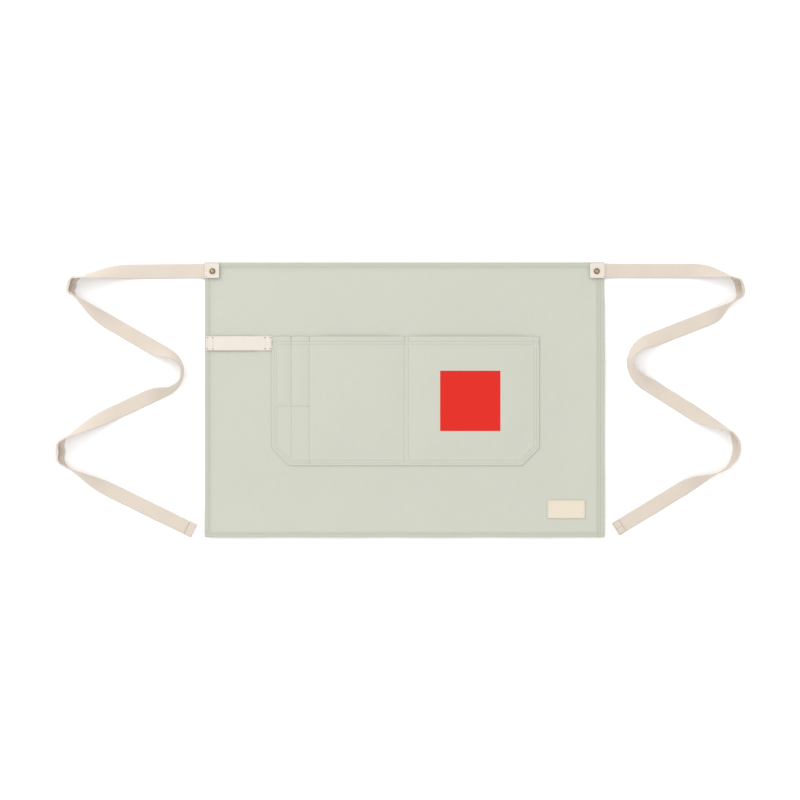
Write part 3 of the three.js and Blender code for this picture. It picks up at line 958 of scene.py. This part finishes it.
def lean_at(s, circles):
    """Lean of the tape: flat on the runs, up on its outer edge at a turn."""
    nearest = min(circles, key=lambda one: abs(s - one["middle"]))
    turn = nearest["turn"]
    before = s < nearest["middle"]
    stand = TAPE * (turn["stand_in"] if before else turn["stand_out"])
    ramp = TAPE * (turn["ramp_in"] if before else turn["ramp_out"])
    away = abs(s - nearest["middle"])
    upright = min(1, max(0, 1 - (away - stand) / ramp))
    span = min(turn["stand_in"], turn["stand_out"]) * TAPE
    bulge = math.cos(away / span * math.pi / 2) ** 2 if away < span else 0
    lean = turn["lean"] * upright ** 1.15
    low = math.radians(lean + bulge * (turn["low"] - turn["lean"]))
    high = math.radians(lean + bulge * (turn["high"] - turn["lean"]))
    return nearest["hand"], low, high, bulge, turn


SECTION_PARTS = 20
CURL_SHARES = (0.35, 0.75)  # part of the width over which a curled section turns back
LEAN_BLEND = 16 * MM
UPRIGHT = 0.35  # lean in radians from which a run no longer ripples


def soft_lean(s, circles):
    """The lean averaged over a short stretch, so that no ramp has a kink."""
    nearest = min(circles, key=lambda one: abs(s - one["middle"]))
    away = abs(s - nearest["middle"])
    curls = nearest["turn"]["low"] != nearest["turn"]["high"]
    reach = LEAN_BLEND if curls else min(LEAN_BLEND, away / 2)
    found = [lean_at(s + share * reach, circles) for share in (-1, -0.5, 0, 0.5, 1)]
    low, high, bulge = np.mean([one[1:4] for one in found], axis=0)
    return found[2][0], low, high, bulge, found[2][4]


def tape_section(low, high, bulge, turn, parts=SECTION_PARTS):
    """Middle of the leaning tape from its outer edge to its inner edge, with normals."""
    shares = (np.arange(parts) + 0.5) / parts
    angles = low + (high - low) * smooth(shares, *CURL_SHARES)
    lengths = TAPE * np.where(shares < 0.5, turn["crease"], 1 - turn["crease"]) / (parts / 2)
    u = np.concatenate(((0,), np.cumsum(lengths * np.cos(angles))))
    z = np.concatenate(((0,), np.cumsum(lengths * np.sin(angles))))
    hold = turn["hold"] + (0.5 - turn["hold"]) * bulge
    target = turn["hold"] + (turn["bulge_hold"] - turn["hold"]) * bulge - 0.5
    u = u + target * TAPE - (u.min() + hold * (u.max() - u.min()))
    joints = np.concatenate((angles[:1], (angles[1:] + angles[:-1]) / 2, angles[-1:]))
    across = np.concatenate(((0,), np.cumsum(lengths))) - TAPE / 2
    return u, z, -np.sin(joints), np.cos(joints), across


TIE_STEP = 3.6 * MM
FLUTTER = 0.55 * MM  # a free run's mean height over the floor
FLUTTER_WAVES = ((0.071, 0, 0.3, 0.35 * MM), (0.043, 0, 2.2, 0.2 * MM))
BOW = 0.5 * MM  # how far the middle of a free run's width rises, in turns along it
BOW_LENGTH = 0.11


def tie_sections(side):
    """Sections of a tie, with its middle line and length."""
    mirror = -1 if side == "left" else 1
    at, length, circles = tie_path(TURNS[side], ENDS[side])
    hem_start = length - TIE_HEM
    stops = list(np.linspace(0, hem_start - 0.4 * MM, round(hem_start / TIE_STEP)))
    stops += list(hem_start + np.array((-0.2, 0, 0.2, 1.2)) * MM)
    stops += list(np.linspace(hem_start + 2.5 * MM, length - 0.8 * MM, 6))
    stops += [length - 0.25 * MM, length]
    sections = []
    for s in stops:
        x, y, heading = at(s)
        hand, low, high, bulge, turn = soft_lean(s, circles)
        u, z, normal_u, normal_z, across = tape_section(low, high, bulge, turn)
        down = float(smooth(s - TAB - TAB_GAP, 0, RAMP))
        double = float(smooth(s, hem_start - 0.25 * MM, hem_start + 0.25 * MM))
        close = 0.35 if s >= length else 1
        half = (TAPE_THICK / 2 * close, (TAPE_THICK / 2 + TAPE_THICK * double) * close)
        lean = max(low, high)
        calm = 1 - min(1, lean / UPRIGHT)
        rest = (1 - calm) + calm * (1 - float(smooth(s, TAB + 20 * MM, TAB + 70 * MM)))
        rest = max(rest, float(smooth(s, hem_start - 60 * MM, hem_start - 10 * MM)))
        ripple = float(waves(np.array([s]), np.zeros(1), FLUTTER_WAVES)[0])
        flutter = (FLUTTER + ripple) * (1 - rest)
        bow = BOW * (1 - (2 * across / TAPE) ** 2) * (1 - rest) * math.sin(TURN * s / BOW_LENGTH)
        lowest = min((z - half[0] * normal_z).min(), (z + half[1] * normal_z).min(),
                     (z - TAPE_THICK / 2 * np.abs(normal_z)).min())
        level = TIE_LEVEL * (1 - down) - lowest
        inward = (-hand * math.sin(heading), hand * math.cos(heading))
        points = np.column_stack((
            mirror * (panel_high.x + x + u * inward[0]), y + u * inward[1],
            z + level + flutter + np.maximum(bow, 0)))
        normals = np.column_stack((
            mirror * normal_u * inward[0], normal_u * inward[1], normal_z))
        if hand > 0:
            points, normals, across = points[::-1], normals[::-1], -across[::-1]
        sections.append((points, normals, half, s, across))
    return sections, at, length


def tie_spot(side, at, s, across):
    """Point on the folded end's upper face."""
    mirror = -1 if side == "left" else 1
    x, y, heading = at(s)
    return (mirror * (panel_high.x + x - across * math.sin(heading)),
            y + across * math.cos(heading), 2 * TAPE_THICK)


tie_rows = []
for side in SIDES:
    sections, at, length = tie_sections(side)
    tie = tape_mesh(side + "_tie_tape", sections, tie_tape)
    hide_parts(side + "_tie")
    margin = TAPE / 2 - 1.2 * MM
    first_row, last_row = (length - TIE_HEM + gap for gap in TIE_ROWS)
    # The first row lies at the hem's fold: its dark russet thread is partly real thread and partly
    # painted shade of the fold's edge. On the left tie a second row close beside it thickens that dark
    # line.
    lines = [((first_row, -margin), (first_row, margin))]
    if side == "left":
        lines.append(((first_row + 0.5 * MM, -margin), (first_row + 0.5 * MM, margin)))
    else:
        lines.append(((last_row, -margin), (last_row, margin)))
        lines += [((first_row, edge), (last_row, edge)) for edge in (-margin, 0, margin)]
    for line in lines:
        for first, last in stitches_along(line, 2.8 * MM):
            tie_rows.append([tie_spot(side, at, *first), tie_spot(side, at, *last)])
thread_piece("tie_stitches", tie_rows, russet_thread, radius=0.24 * MM)


# Towel loop: arched between two sewn ends, each folded under
LOOP_END = 13 * MM
LOOP_RISE = 1.5 * MM
LOOP_CUP = 0.3 * MM
LOOP_FOLD = 0.5  # what the turned ends add to the strap's thickness, as a share
LOOP_ROWS = (loop_low.x + 2.6 * MM, loop_low.x + 12 * MM,
             loop_high.x - 11.6 * MM, loop_high.x - 2.6 * MM)
LOOP_TACKS = (loop_low.y + 2.9 * MM, loop_high.y - 2.6 * MM)


def loop_seat(points):
    """Level of the strap's underside before its arch, from the left hem to the single layer."""
    span = loop_high.x - loop_low.x
    share = np.clip((points[:, 0] - loop_low.x - LOOP_END) / (span - 2 * LOOP_END), 0, 1)
    line = panel_high.z + (UNDER + CANVAS - panel_high.z) * share
    ends = (points[:, 0] < loop_low.x + LOOP_END) | (points[:, 0] > loop_high.x - LOOP_END)
    sewn = np.maximum(line, panel_plain(points))
    return SEAT + np.where(ends, sewn, np.maximum(line, panel_plain(points) - 0.2 * MM))


def loop_sections():
    span = loop_high.x - loop_low.x
    middle_y = (loop_low.y + loop_high.y) / 2
    edge = TAPE / 2
    across = np.concatenate(((-edge, -edge + 0.3 * MM), np.linspace(-edge, edge, 17)[1:-1],
                             (edge - 0.3 * MM, edge)))
    near = np.array((0, 0.3, 1, 3, 6, 9)) * MM
    stops = np.concatenate((near, np.linspace(LOOP_END, span - LOOP_END, 29), span - near[::-1]))
    sections = []
    for s in stops:
        share = min(1, max(0, (s - LOOP_END) / (span - 2 * LOOP_END)))
        arch = LOOP_RISE * (1 - (2 * share - 1) ** 4) ** 1.3
        cup = LOOP_CUP * (arch / LOOP_RISE) * (1 - (across / edge) ** 2)
        line = np.column_stack((np.full(len(across), loop_low.x + s), middle_y + across))
        end_gap = min(s, span - s)
        doubled = 1 - float(smooth(end_gap, LOOP_END + 1 * MM, LOOP_END + 2 * MM))
        round_end = math.sqrt(1 - (1 - min(1, end_gap / (1.1 * MM))) ** 2) * 0.8 + 0.2
        half = TAPE_THICK / 2 * (1 + LOOP_FOLD * doubled)
        points = np.column_stack((line, loop_seat(line) + arch + cup + half))
        normals = np.tile((0, 0, 1.0), (len(across), 1))
        sections.append((points, normals, (half * round_end, half * round_end), s, across))
    return sections


loop = tape_mesh("towel_strap", loop_sections(), webbing)
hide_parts("towel_loop")


def loop_top(points):
    """Upper face of the loop's sewn ends."""
    return loop_seat(points) + (1 + LOOP_FOLD) * TAPE_THICK


loop_rows = [[(x, loop_low.y + 1.6 * MM), (x, loop_high.y - 1.6 * MM)] for x in LOOP_ROWS]
loop_tacks = [row for x in LOOP_ROWS for y in LOOP_TACKS for row in bar_tack(x, y, 2.4 * MM, 2.1 * MM)]
thread_piece("loop_stitches", lay(loop_rows, loop_top, pitch=2.6 * MM), cream_thread,
             radius=0.2 * MM)
thread_piece("loop_tacks", lay(loop_tacks, loop_top, pitch=3 * MM), tack_thread_with_hole_shade,
             radius=0.27 * MM)


# Tabs: their cut ends spread a little past the webbing's width
TAB_RAISE_LOW = 0.3 * MM
TAB_RAISE_HIGH = 1.7 * MM
TAB_SPREAD = {"left": 0, "right": 1.6 * MM}
TAB_ROWS = {"left": (2.9 * MM, 5.2 * MM), "right": (2.2 * MM, 5.6 * MM)}  # from the outer edge
TAB_PITCH = {"left": 2.2 * MM, "right": 3.4 * MM}
TAB_THREAD = {"left": 0.18 * MM, "right": 0.27 * MM}
TAB_WAVES = ((0.021, 35, 0.5, 0.1 * MM), (0.013, 110, 1.0, 0.07 * MM))
TAB_PRESS = 0.45 * MM  # how far the rivet presses the tab in
PRESS_REACH = 7.5 * MM

# Corners of the tabs: 0 or 1 for left or right, 0 or 1 for low or high, and the offset in mm
TAB_CORNERS = {
    "left": ((0, 0, 0, 0), (1, 0, 0, 0.4), (1, 1, 0.4, -4), (1, 1, -1.6, 0), (0, 1, 0.3, 0)),
    "right": ((0, 0, 0.6, 0), (1, 0, 0, 0.3), (1, 1, 0, 0), (0, 1, 1.6, 0), (0, 1, -0.4, -5)),
}


def make_tab(side):
    """A tab's patch, and the ends of its stitches and of the tack in its corner."""
    mirror = -1 if side == "left" else 1
    low = tab_boxes[side][0] + Vector((0, TAB_RAISE_LOW, 0))
    high = tab_boxes[side][1] + Vector((TAB_SPREAD[side], TAB_RAISE_HIGH, 0))
    post = (rivet_boxes[side][0] + rivet_boxes[side][1]) / 2
    box = (low, high)
    corners = [(box[right].x + dx * MM, box[upper].y + dy * MM)
               for right, upper, dx, dy in TAB_CORNERS[side]]
    outer = low.x if side == "left" else high.x
    row_x = [outer - mirror * gap for gap in TAB_ROWS[side]]
    rows = [upright_row(x, high.y - 1 * MM, low.y + 1 * MM) for x in row_x]

    def top(points):
        x, y = points.T
        pressed = np.exp(-(np.hypot(x - post.x, y - post.y) / PRESS_REACH) ** 4)
        return high.z + 0.35 * MM + waves(x, y, TAB_WAVES) - TAB_PRESS * pressed

    def under(points):
        return np.full(len(points), low.z)

    def sewn(points):
        return top(points) - furrow(points, rows) * 0.3

    tab = sheet_piece(side + "_tab_patch", corners, rows, top, under, webbing, flat_fold,
                      grid=1.6 * MM, step=1.5 * MM)
    middle = np.array(((low + high) / 2)[:])
    set_attribute(tab.data, "tape", np.array([vertex.co for vertex in tab.data.vertices]) - middle)
    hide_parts(side + "_tab")
    thread = lay([rows[0](0)], sewn, pitch=TAB_PITCH[side])
    tack = bar_tack(row_x[0] + mirror * 0.4 * MM, low.y + 3 * MM, 2 * MM, 1.8 * MM)
    return thread, lay(tack, sewn, pitch=3 * MM)


sewing = [make_tab(side) for side in SIDES]
threads = [thread for thread, tack in sewing]
sizes = np.repeat([TAB_THREAD[side] for side in SIDES], [len(thread) for thread in threads])
thread_piece("tab_stitches", np.concatenate(threads), russet_thread, radius=sizes[:, None])
thread_piece("tab_tacks", np.concatenate([tack for thread, tack in sewing]), tack_thread_with_hole_shade,
             radius=0.22 * MM)

# Rivet cap: radius and height as shares of the cap's, then how bright the brass is: worn bright on the
# dome, dark patina in the recess, and painted shade round the rim
CAP_PROFILE = (
    (0.90, -0.10, 0.0), (0.985, 0.08, 0.0), (1.0, 0.35, 0.1), (0.985, 0.62, 0.15), (0.93, 0.86, 0.3),
    (0.85, 0.95, 0.25), (0.78, 0.86, 0.0), (0.72, 0.62, 0.0), (0.67, 0.50, 0.1), (0.61, 0.56, 0.4),
    (0.54, 0.74, 0.75), (0.45, 0.90, 0.9), (0.32, 1.02, 1.0), (0.18, 1.09, 1.0), (0.06, 1.11, 1.0),
)
# Back head and post: radius as a share of the cap's, height over the underside in mm, and brightness as
# on the cap
HEAD_PROFILE = ((0.35, 0, 0.6), (0.66, 0, 0.6), (0.7, 0.25, 0.7), (0.66, 0.6, 0.4), (0.33, 0.75, 0.1))
POST_SHARE = 0.33
RIVET_SIDES = 48
CAP_HEIGHT = 1.3 * MM


def lathe(profile, middle, sides=RIVET_SIDES):
    """Points, faces and brightness of a turned shape; a profile row is radius, height and brightness.
    """
    points = []
    for radius, height, wear_and_shade in profile:
        for k in range(sides):
            angle = TURN * k / sides
            points.append((middle.x + radius * math.cos(angle), middle.y + radius * math.sin(angle),
                           height))
    wear_and_rim_shade = np.repeat([wear_and_shade for radius, height, wear_and_shade in profile], sides)
    return points, tube_faces(len(profile), sides), wear_and_rim_shade


for side in SIDES:
    low, high = rivet_boxes[side]
    radius = (high.x - low.x) / 2
    base = high.z - CAP_HEIGHT
    profile = [(share * radius, low.z + level * MM, wear_and_shade) for share, level, wear_and_shade in HEAD_PROFILE]
    profile.append((POST_SHARE * radius, base - 0.2 * MM, 0.1))
    profile += [(share * radius, base + level * CAP_HEIGHT, wear_and_shade) for share, level, wear_and_shade in CAP_PROFILE]
    points, faces, wear_and_rim_shade = lathe(profile, (low + high) / 2)
    rivet = make_piece(side + "_rivet_cap", points, faces, brass, "wear_and_rim_shade", wear_and_rim_shade)
    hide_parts(side + "_rivet")


# Label: a plain satin patch with turned edges, sewn on all round
LABEL_CORNER = 2.6 * MM
LABEL_TURN = 3 * MM
LABEL_SEAM = 2.1 * MM
LABEL_THICK = 0.75 * MM


def rounded(low, high, radius, steps=5):
    """A rectangle with round corners, counterclockwise."""
    outline = []
    for cx, cy, start in ((high.x - radius, low.y + radius, -90), (high.x - radius, high.y - radius, 0),
                          (low.x + radius, high.y - radius, 90), (low.x + radius, low.y + radius, 180)):
        for k in range(steps + 1):
            angle = math.radians(start + 90 * k / steps)
            outline.append((cx + radius * math.cos(angle), cy + radius * math.sin(angle)))
    return outline


LABEL = rounded(label_low, label_high, LABEL_CORNER)


def label_row(offset):
    line = inset(LABEL, LABEL_SEAM + offset)
    return line + [line[0]]


def label_under(points):
    return panel_plain(points) + SEAT


def label_top(points):
    rim = distance_to(points, LABEL, closed=True)
    turned = 1 - smooth(rim, LABEL_TURN, LABEL_TURN + 1.5 * MM)
    loose = smooth(rim, 2 * MM, 9 * MM)
    return (label_under(points) + LABEL_THICK + 0.4 * MM * turned + 0.25 * MM * loose
            - 0.7 * furrow(points, [label_row]))


# The label's outer millimetre turns to the darker edge colour: painted shade along its edge.
def label_edge_shade(points):
    rim = distance_to(points, LABEL, closed=True)
    return 1 - smooth(rim, 0.2 * MM, 1.2 * MM)


label = sheet_piece("label_patch", LABEL, [label_row], label_top, label_under, satin,
                    label_edge_shade, grid=2 * MM, step=2 * MM)
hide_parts("label")
seam = Vector((LABEL_SEAM, LABEL_SEAM, 0))
label_line = box_corners(label_low + seam, label_high - seam)
label_line.append(label_line[0])
label_thread = thread_piece("label_stitches", lay([label_line], label_top, pitch=2.6 * MM),
                            cream_thread, radius=0.2 * MM)

# Camera, straight above, with the photograph's framing: 1.40 m across at the floor
CAMERA_PLACE = (-8.05 * MM, 0.5 * MM, 1.9)
VIEW_WIDTH = 1.4
SENSOR = 36
camera_data = bpy.data.cameras.new("camera")
camera_data.sensor_width = SENSOR
camera_data.lens = SENSOR * CAMERA_PLACE[2] / VIEW_WIDTH
camera = new_object("camera", camera_data)
camera.location = CAMERA_PLACE
bpy.context.scene.camera = camera

# White floor, as wide as any view needs, just under the hems
FLOOR = 8
FLOOR_LEVEL = -0.4 * MM
floor_material, floor_tree, floor_shader = start_material("white_floor")
feed(floor_tree, floor_shader, {"Base Color": (0.89, 0.89, 0.89, 1), "Roughness": 0.95,
                                "Specular IOR Level": 0})
floor_corners = box_corners(Vector((-FLOOR, -FLOOR, 0)), Vector((FLOOR, FLOOR, 0)))
floor_mesh = bpy.data.meshes.new("floor")
floor_mesh.from_pydata([(x, y, FLOOR_LEVEL) for x, y in floor_corners], [], [(0, 1, 2, 3)])
floor_mesh.materials.append(floor_material)
new_object("floor", floor_mesh)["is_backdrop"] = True

# Even light all round, and a large soft lamp at the upper left
WORLD_LIGHT = 1.3
LAMP_PLACE = (-3.6, 3.3, 2.7)
LAMP_SIZE = 2.8
LAMP_POWER = 115
world = bpy.data.worlds.new("studio")
world.use_nodes = True
background = world.node_tree.nodes["Background"]
feed(world.node_tree, background, {"Color": (1, 1, 1, 1), "Strength": WORLD_LIGHT})
bpy.context.scene.world = world
bpy.context.scene.view_settings.view_transform = "Standard"
light = bpy.data.lights.new("key_light", "AREA")
light.shape = "DISK"
light.size = LAMP_SIZE
light.energy = LAMP_POWER
lamp = new_object("key_light", light)
lamp.location = LAMP_PLACE
lamp.rotation_mode = "QUATERNION"
lamp.rotation_quaternion = lamp.location.to_track_quat("Z", "Y")
lamp.visible_camera = False

low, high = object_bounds()
